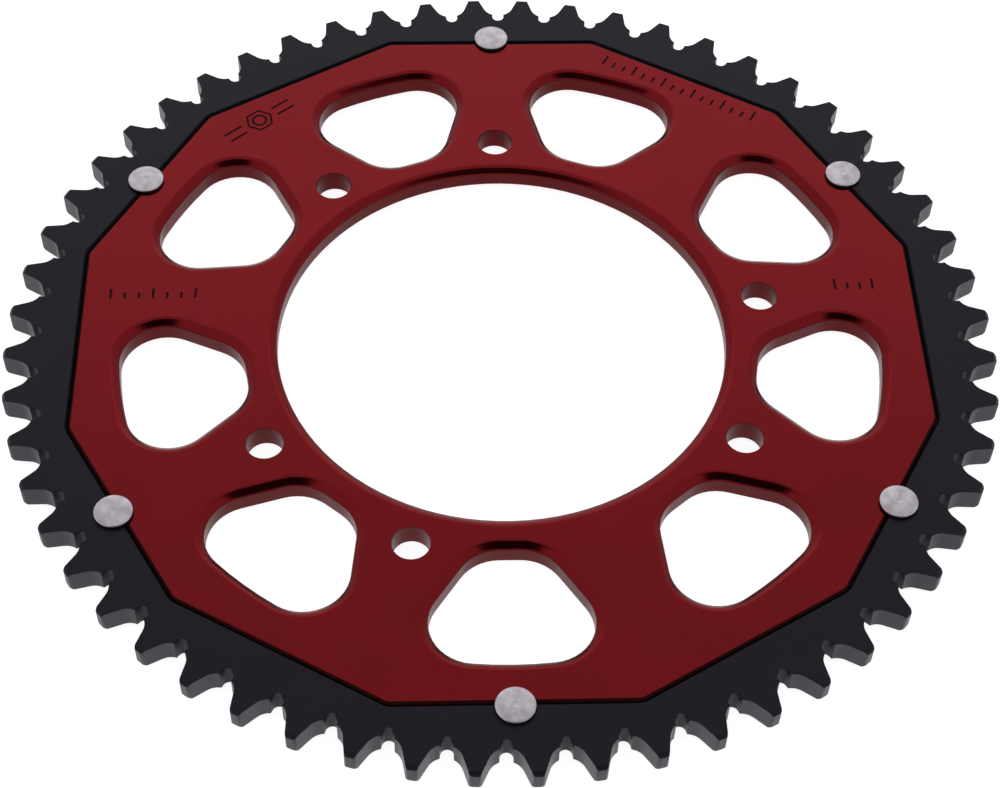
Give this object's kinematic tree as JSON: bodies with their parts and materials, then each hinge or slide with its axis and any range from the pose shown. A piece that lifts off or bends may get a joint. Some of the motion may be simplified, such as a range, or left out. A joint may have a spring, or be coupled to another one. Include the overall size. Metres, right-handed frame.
{
  "type": "rear sprocket",
  "caption": "Flat two-piece rear chain sprocket: black steel toothed ring riveted to a red anodised aluminium carrier with a large bore, bolt holes and windows.",
  "frame": {"origin": "centre of the bore, halfway through the thickness, on the chain line", "axes": "+Z along the axle, out of the shown face; +X and +Y in the plate, +Y through a bolt hole and a rivet"},
  "size_m": [0.2312, 0.2312, 0.0082],
  "materials": {
    "red_anodised_aluminium": "satin anodised",
    "black_steel": "satin black",
    "bright_rivet": "bright, mottled by the riveting press"
  },
  "bodies": {
    "root": {"toothed_ring": "black_steel", "carrier": "red_anodised_aluminium", "rivet_1": "bright_rivet", "rivet_2": "bright_rivet", "rivet_3": "bright_rivet", "rivet_4": "bright_rivet", "rivet_5": "bright_rivet", "rivet_6": "bright_rivet"}
  },
  "joints": []
}
